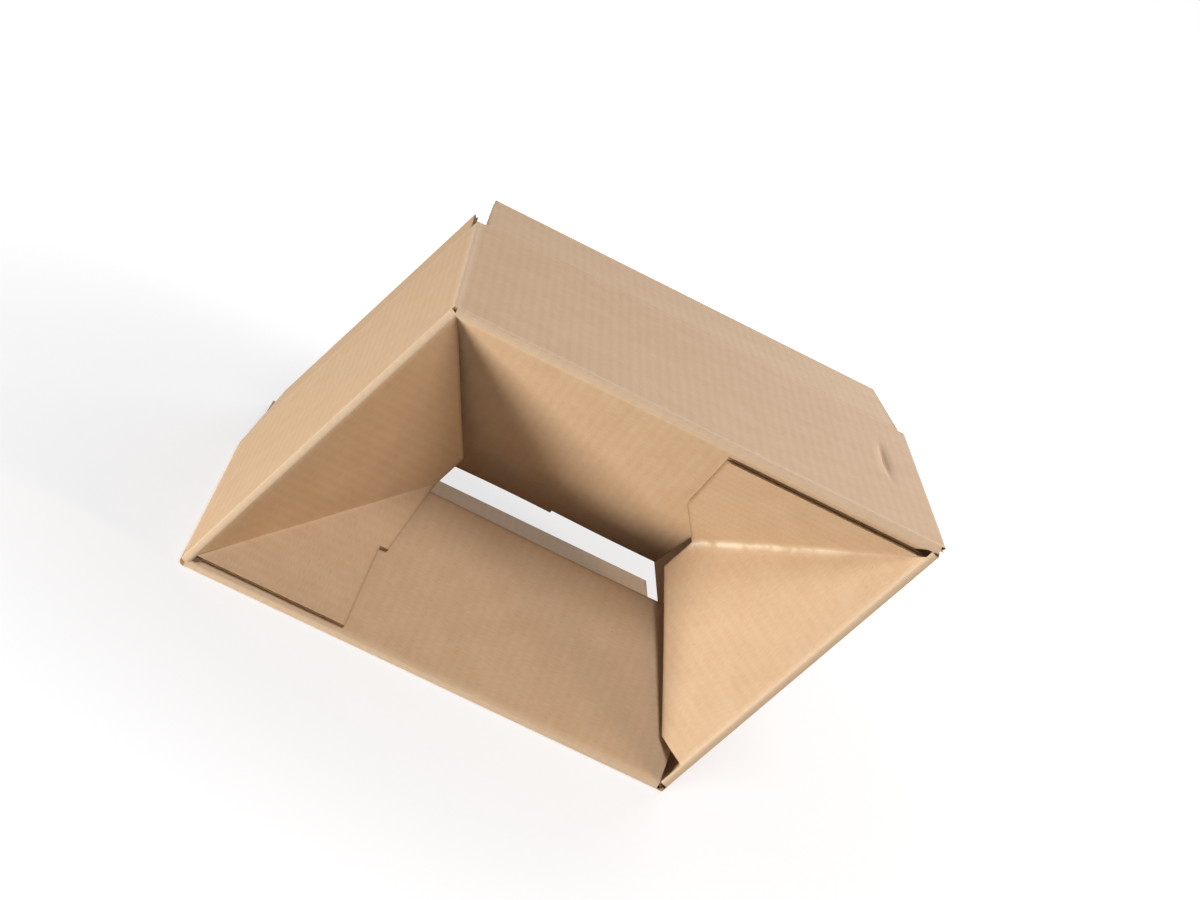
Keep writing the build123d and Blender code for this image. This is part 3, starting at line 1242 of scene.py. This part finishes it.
def thickened(tree, waves):
    """The waves pulled up by the paper's thickness, closed below by the same waves turned over."""
    top = add(
        tree, "GeometryNodeExtrudeMesh",
        {"Mesh": waves, "Offset": (0, 0, 1), "Offset Scale": given["Paper thickness"], "Individual": False},
        mode="FACES",
    )
    under = add(tree, "GeometryNodeFlipFaces", {"Mesh": waves})
    both_sides = add(tree, "GeometryNodeJoinGeometry")
    for part in (top, under):
        tree.links.new(part.outputs["Mesh"], both_sides.inputs[0])
    closed = add(
        tree, "GeometryNodeMergeByDistance",
        {"Geometry": both_sides.outputs[0], "Distance": merge_reach},
    )
    return closed.outputs[0]


spot = add(
    fluting, "ShaderNodeCombineXYZ",
    {"X": column, "Y": along.outputs["Result"], "Z": wave_lift(fluting, column)},
)
waves = add(fluting, "GeometryNodeSetPosition", {"Geometry": grid, "Position": spot.outputs[0]})
closed = thickened(fluting, waves.outputs[0])
real = add(fluting, "GeometryNodeRealizeInstances", {"Geometry": closed}).outputs[0]
finished = add(fluting, "GeometryNodeSetMaterial", {"Geometry": real, "Material": given["Paper"]})
add(fluting, "NodeGroupOutput", {"Fluting": finished.outputs[0]})
print("fluting tree:", len(fluting.nodes), "nodes")

# %% [markdown]
# ## Fluting in every panel of the body
#
# The tree works on the flat sheet. Its waves are then placed by the panel that they belong to, so
# they take its slope and its small bow. The flutes stop just short of each fold, where the score
# has crushed them, and run out flush to every cut edge, where they show.

# %% The fluting of one panel
flute_paper = 0.22 * mm
flute_height = board - 2 * liner - flute_paper
edge_gap = 0.15 * mm
shortest_flute = 3 * mm
columns_per_flute = 8
flute_rows = 7
socket_of = {item.name: item.identifier for item in fluting.interface.items_tree if item.in_out == "INPUT"}


def waves_in(outline, phase):
    """A plain mesh of fluting that fills a flat outline."""
    mesh = bpy.data.meshes.new("outline")
    mesh.from_pydata(outline.tolist(), [], [list(range(len(outline)))])
    piece = to_object(mesh, "outline")
    modifier = piece.modifiers.new("Fluting", "NODES")
    modifier.node_group = fluting
    for name, value in (
        ("Flute pitch", flute_pitch),
        ("Flute height", flute_height),
        ("Paper thickness", flute_paper),
        ("Phase", phase),
        ("Edge gap", edge_gap),
        ("Columns per flute", columns_per_flute),
        ("Rows", flute_rows),
        ("Paper", fluting_paper),
    ):
        modifier[socket_of[name]] = value
    return evaluated_mesh(piece)


def flutes(panel, s, low, high, phase):
    """The fluting of one panel between a low and a high line, placed in the panel."""
    keep = high - low > shortest_flute
    s, low, high = s[keep], low[keep], high[keep]
    outline = np.vstack([np.stack([s, low], -1), np.stack([s, high], -1)[::-1]])
    mesh = waves_in(np.hstack([outline, np.zeros((len(outline), 1))]), phase)
    flat = np.zeros(len(mesh.vertices) * 3, np.float32)
    mesh.vertices.foreach_get("co", flat)
    flat = flat.reshape(-1, 3).astype(float)
    placed = panel.place(flat[:, 0], flat[:, 1], board / 2 - flat[:, 2])
    mesh.vertices.foreach_set("co", placed.astype(np.float32).ravel())
    if np.cross(panel.across, panel.along) @ panel.outward < 0:
        mesh.flip_normals()
    return mesh


print(f"flutes {flute_height / mm:.2f} mm high, {flute_pitch / mm:.1f} mm apart")

# %% The body's fluting
crushed_flute = 2 * mm


def crushed_core():
    """The flutes pressed flat in the folds: one thin felt of paper in the middle of the board."""
    paper = Paper()
    for wall in walls:
        add_bottom_fold(paper, wall, board / 2, 1)
    for wall, following in zip(walls[:-1], walls[1:]):
        add_corner(paper, wall, following, board / 2, 1)
    piece = to_object(paper.mesh("core"), "core")
    solid = piece.modifiers.new("Thickness", "SOLIDIFY")
    solid.thickness = flute_height
    solid.offset = 0
    return evaluated_mesh(piece)


def body_flutes():
    """The fluting of the walls, bottom flaps, tabs and glue lap."""
    made = [crushed_core()]
    for wall in walls:
        low = np.where(np.isin(wall.columns, wall.root), board + crushed_flute, slot_depth)
        made.append(flutes(wall.panel, wall.columns, low, wall.top, wall.offset))
        s = wall.root
        reach = wall.cut(s)
        if wall in ends:
            reach = np.where(s < crease_end, reach - crushed_flute, reach)
        made.append(flutes(wall.flap, s, np.full(len(s), crushed_flute), reach, wall.offset))
    for end in ends:
        q = tab_columns(end)
        made.append(flutes(end.tab, q, q + crushed_flute, end.tab_cut(q), end.offset + crease))
    sides = np.array([crushed_flute, lap_width])
    made.append(flutes(lap, sides, np.full(2, lap_gap), np.full(2, end_height - lap_gap), 0))
    return made


body_fluting = joined(body_flutes(), "carton_fluting", [fluting_paper])
print("carton_fluting:", len(body_fluting.data.polygons), "faces")

# %% [markdown]
# ## The top flaps
#
# Each top flap is the end of its wall beyond a score, tapered so that neighbours clear each other.
# It leans in by a few degrees, as board springs after it was bent. A flap's lean is read from its
# own CAD node: the direction from its hinge to the middle of its free edge.

# %% A top flap's outline, liners and flutes
flap_depth = 108 * mm
top_bow = 0.8 * mm
side_clear = 2 * mm
corner_clear = 0.5 * mm


class TopFlap:
    """A top flap: its wall, the name of its body, and its leaning panel."""

    def __init__(self, body, wall, tip_inset, lean):
        self.wall = wall
        self.body = body
        along = axis * cos(lean) + wall.into * sin(lean)
        outward = axis * sin(lean) - wall.into * cos(lean)
        score = wall.corner + axis * wall.height
        self.panel = Panel(score, wall.rim, along, outward, self.press)
        first = top_slot
        last = wall.width - top_slot
        tip = (tip_inset, flap_depth), (wall.width - tip_inset, flap_depth)
        self.cut = CutLine((first, 0), *tip, (last, 0))
        clear = wall.columns[(wall.columns > first + side_clear) & (wall.columns < last - side_clear)]
        clear = [s for s in clear if np.abs(self.cut.places - s).min() > corner_clear]
        self.columns = np.unique(np.concatenate([self.cut.places, clear]))

    def press(self, s, t):
        """A gentle bow that fades to nothing at the sides, the score and the free edge."""
        share = (t - score_half) / (flap_depth - score_half)
        return top_bow * hump(s / self.wall.width) * hump(share)

    def form(self, depth, outward):
        """The flap's liner at one depth, from the score strip to its cut edges."""
        paper = Paper()
        reach = self.cut(self.columns)
        t = rows_between(np.minimum(score_half, reach), reach, flap_rows)
        s = np.broadcast_to(self.columns[:, None], t.shape)
        points = self.panel.place(s, t, depth)
        u = self.wall.offset + s
        v = self.wall.height + t
        edge = beside_cut(self.columns, reach, t)
        paper.grid(points, u, v, 0.0, outward * self.panel.outward, edge=edge)
        return paper

    def flutes(self):
        """The flap's fluting, from the score strip to its cut edges."""
        reach = self.cut(self.columns)
        low = np.full(len(reach), score_half)
        return flutes(self.panel, self.columns, low, reach, self.wall.offset)


print(f"top flaps are {flap_depth / mm:.0f} mm deep")

# %% The four top flaps
long_tip_inset = 9 * mm
end_tip_inset = 18 * mm
tip_band = 0.2 * mm


def lean_of(body, hinge, wall):
    """How far a CAD flap leans in from its wall."""
    corners = np.array([v.co for v in frame["nodes"][body].data.vertices])
    away = corners - np.array(hinges[hinge]["pos_m"])
    reach = away @ axis
    tip = away[reach > reach.max() - tip_band]
    return atan2((tip @ wall.into).min(), reach.max())


top_flaps = []
for name, wall, tip_inset in (
    ("upper", upper, long_tip_inset),
    ("lower", lower, long_tip_inset),
    ("left", left, end_tip_inset),
    ("right", right, end_tip_inset),
):
    body = "top_flap_" + name
    lean = lean_of(body, name + "_flap_fold", wall)
    flap = TopFlap(body, wall, tip_inset, lean)
    flap.liners = liners(flap.form, body + "_liners")
    flap.fluting = joined([flap.flutes()], body + "_fluting", [fluting_paper])
    top_flaps.append(flap)
    print(body, "leans", round(np.degrees(lean), 2), "degrees")

# %% [markdown]
# ## Scores that bend
#
# A flap hangs on the liners of its wall: there is no hinge, only a pressed line in the board. The
# strip of board over that line is a piece of its own, with a groove where the score was pressed.
# It follows the wall at one side and the flap at the other, and turns smoothly between them.

# %% The score strips
inner_groove = 1.3 * mm
outer_groove = 0.25 * inner_groove
groove_width = 1.4 * mm
# The score groove and the strip's edges are painted pale: partly wear, partly a painted highlight
groove_wear_and_highlight = 0.6
strip_edge_wear_and_highlight = 0.3
strip_rows = 13


def score_strip(flap):
    """A closed band of board over a score, from the wall to the flap."""
    wall = flap.wall
    first = top_slot + knife
    last = wall.width - top_slot - knife
    inner = flap.columns[(flap.columns > first) & (flap.columns < last)]
    s = np.concatenate([[first], inner, [last]])
    t = np.linspace(-score_half, score_half, strip_rows)
    s, t = (grid.T for grid in np.meshgrid(s, t))
    u = wall.offset + s
    v = wall.height + t
    groove = np.exp(-(t / groove_width) ** 2)
    paper = Paper()
    faces = []
    for depth, outward in ((outer_groove * groove, 1), (board - inner_groove * groove, -1)):
        on_wall = wall.panel.place(s, wall.height + np.minimum(t, 0), depth)
        on_flap = flap.panel.place(s, np.maximum(t, 0), depth)
        points = np.where((t < 0)[..., None], on_wall, on_flap)
        points = np.where((t == 0)[..., None], (on_wall + on_flap) / 2, points)
        faces.append(points)
        paper.grid(points, u, v, groove_wear_and_highlight * groove, outward * wall.panel.outward)
    outer, inner = faces
    for column, side in ((0, -wall.rim), (-1, wall.rim)):
        cap = np.stack([outer[column], inner[column]])
        paper.grid(cap, u[column], v[column], strip_edge_wear_and_highlight, side)
    for row, side in ((0, -axis), (-1, axis)):
        cap = np.stack([outer[:, row], inner[:, row]])
        paper.grid(cap, u[:, row], v[:, row], strip_edge_wear_and_highlight, side)
    name = flap.body + "_score"
    return joined([paper.mesh(name)], name, [liner_paper])


for flap in top_flaps:
    flap.score = score_strip(flap)
    print(flap.score.name, len(flap.score.data.polygons), "faces")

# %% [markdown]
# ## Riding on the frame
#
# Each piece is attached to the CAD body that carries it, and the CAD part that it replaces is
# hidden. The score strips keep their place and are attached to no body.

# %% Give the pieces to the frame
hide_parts("carton_body")
for piece in (body_liners, body_fluting):
    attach(piece, "body")
for flap in top_flaps:
    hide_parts(flap.body)
    for piece in (flap.liners, flap.fluting):
        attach(piece, flap.body)
    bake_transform(flap.score)
print("pieces:", 2 + 3 * len(top_flaps))

# %% [markdown]
# ## Floor and background
#
# The carton lies on a long wall, on a plain pale floor. White paint would throw much light up into
# the carton, and the photograph shows none of that. So the paint is a mid grey that takes the
# carton's shadow, and for rays from the camera it gives light of its own that brings it to white.
# That glow is weaker close to the carton, where the shadow has to show. The world behind is white
# to the camera too, and gives only a little light.

# %% The floor
floor_size = 60.0
floor_gap = 0.3 * mm
shadow_reach = 0.2
shadow_glow = 0.66
white_from = 0.8
white_glow = 1.0


def seen_directly(tree):
    """1 for rays from the camera, and for those that gloss or glass sends on."""
    path = add(tree, "ShaderNodeLightPath").outputs
    seen = path["Is Camera Ray"]
    for ray in ("Is Glossy Ray", "Is Transmission Ray"):
        seen = add(tree, "ShaderNodeMath", {0: seen, 1: path[ray]}, operation="MAXIMUM").outputs[0]
    return seen


def pale_floor():
    """Matt paint that shows near white to the camera and keeps a soft shadow."""
    material, tree = new_material("white_studio_floor_matt_paint")
    place = add(tree, "ShaderNodeTexCoord").outputs["Object"]
    away = add(tree, "ShaderNodeVectorMath", {0: place}, operation="LENGTH").outputs["Value"]
    strength = add(
        tree, "ShaderNodeMapRange",
        {
            "Value": away,
            "From Min": shadow_reach,
            "From Max": white_from,
            "To Min": shadow_glow,
            "To Max": white_glow,
        },
        interpolation_type="SMOOTHSTEP",
    )
    glow = add(
        tree, "ShaderNodeMath",
        {0: seen_directly(tree), 1: strength.outputs["Result"]},
        operation="MULTIPLY",
    )
    shader = add(
        tree, "ShaderNodeBsdfPrincipled",
        {
            "Base Color": colour("#989898"),
            "Roughness": 0.9,
            "Specular IOR Level": 0.1,
            "Emission Color": (1, 1, 1, 1),
            "Emission Strength": glow.outputs[0],
        },
    )
    add(tree, "ShaderNodeOutputMaterial", {"Surface": shader.outputs["BSDF"]})
    return material


half_floor = floor_size / 2
corners = [(x * half_floor, y * half_floor, -floor_gap) for x, y in ((-1, -1), (1, -1), (1, 1), (-1, 1))]
floor_mesh = bpy.data.meshes.new("floor")
floor_mesh.from_pydata(corners, [], [(0, 1, 2, 3)])
floor_mesh.materials.append(pale_floor())
floor = to_object(floor_mesh, "floor")
print("floor", floor_size, "m wide")

# %% The world
ambient = 0.08
world = bpy.data.worlds.new("white_studio")
world.use_nodes = True
around = world.node_tree
around.nodes.clear()
seen = seen_directly(around)
shine = add(around, "ShaderNodeMapRange", {"Value": seen, "To Min": ambient, "To Max": white_glow})
sky = add(around, "ShaderNodeBackground", {"Color": (1, 1, 1, 1), "Strength": shine.outputs["Result"]})
add(around, "ShaderNodeOutputWorld", {"Surface": sky.outputs[0]})
bpy.context.scene.world = world
print("ambient light", ambient)

# %% [markdown]
# ## Lights
#
# The shadows in the photograph tell where the soft boxes stood. The upper flap is bright near its
# rim and dark at its deep end, where the lower rim shades it, so the main light comes from low on
# the left. The lower flap darkens at its deep end too, where the upper rim shades it, so another
# comes from above the camera. A weaker, warm one on the right lights the left flap, and one behind
# shines into the open top, which the photograph doesn't show.
#
# Nothing is under the carton in the photograph, and here it lies on a floor. The low lamp therefore
# stands below the floor, and the floor is told to cast no shadow itself, while it still takes the
# carton's.

# %% Four soft boxes
lamp_distance = 2.0
aim = Vector((0, rim_y, cad_high.z / 2))
floor.visible_shadow = False


def soft_box(name, toward, size, share, tint):
    """A square area lamp. At share 1 it alone lights a white card that faces it to white."""
    lamp = bpy.data.lights.new(name, "AREA")
    lamp.size = size
    lamp.energy = share * (pi * lamp_distance) ** 2
    lamp.color = colour(tint)[:3]
    stand = bpy.data.objects.new(name, lamp)
    bpy.context.scene.collection.objects.link(stand)
    toward = Vector(toward).normalized()
    stand.location = aim + toward * lamp_distance
    stand.rotation_mode = "QUATERNION"
    stand.rotation_quaternion = toward.to_track_quat("Z", "Y")
    print(name, [round(c, 2) for c in stand.location], round(lamp.energy, 1), "W")


soft_box("low_left_soft_box", toward=(-0.84, -0.315, -0.445), size=0.35, share=1.4, tint="#fffdfa")
soft_box("top_front_soft_box", toward=(0.15, -0.45, 0.88), size=0.6, share=0.62, tint="#f6f8ff")
soft_box("right_soft_box", toward=(0.9, -0.18, 0.3), size=0.5, share=0.47, tint="#ffe4c4")
soft_box("back_soft_box", toward=(0.4, 0.85, 0.34), size=0.9, share=0.5, tint="#f6f8ff")

# %% [markdown]
# ## Camera
#
# The camera looks from the photograph's own viewpoint: in front of the bottom end, a little left
# and above, and rolled, because the carton is at a slant in the picture. Place, direction and roll
# come from matching the rim and folds. Only the lens is longer, so that the carton fills the
# picture.

# %% The camera at the photograph's viewing angle
camera_place = Vector((-180.1 * mm, -1472.9 * mm, 532.3 * mm))
heading = radians(7.46)
look_down = radians(15.51)
roll = radians(28.08)
matched_lens = 22.68
enlarge = 3.3

camera = bpy.data.cameras.new("camera")
camera.sensor_width = 36.0
camera.lens = matched_lens * enlarge
camera.clip_start = 0.01
camera.clip_end = 200.0
viewpoint = bpy.data.objects.new("camera", camera)
bpy.context.scene.collection.objects.link(viewpoint)
look = Vector((sin(heading) * cos(look_down), cos(heading) * cos(look_down), -sin(look_down)))
viewpoint.location = camera_place
viewpoint.rotation_mode = "QUATERNION"
viewpoint.rotation_quaternion = look.to_track_quat("-Z", "Y") @ Quaternion((0, 0, 1), roll)
bpy.context.scene.camera = viewpoint
bpy.context.scene.view_settings.view_transform = "Standard"
print("lens", round(camera.lens, 1), "mm")

# %% [markdown]
# ## The CAD box
#
# The size of the CAD model is printed.

# %% Print the CAD box
print("CAD box", [round(c / mm, 2) for c in cad_high - cad_low])
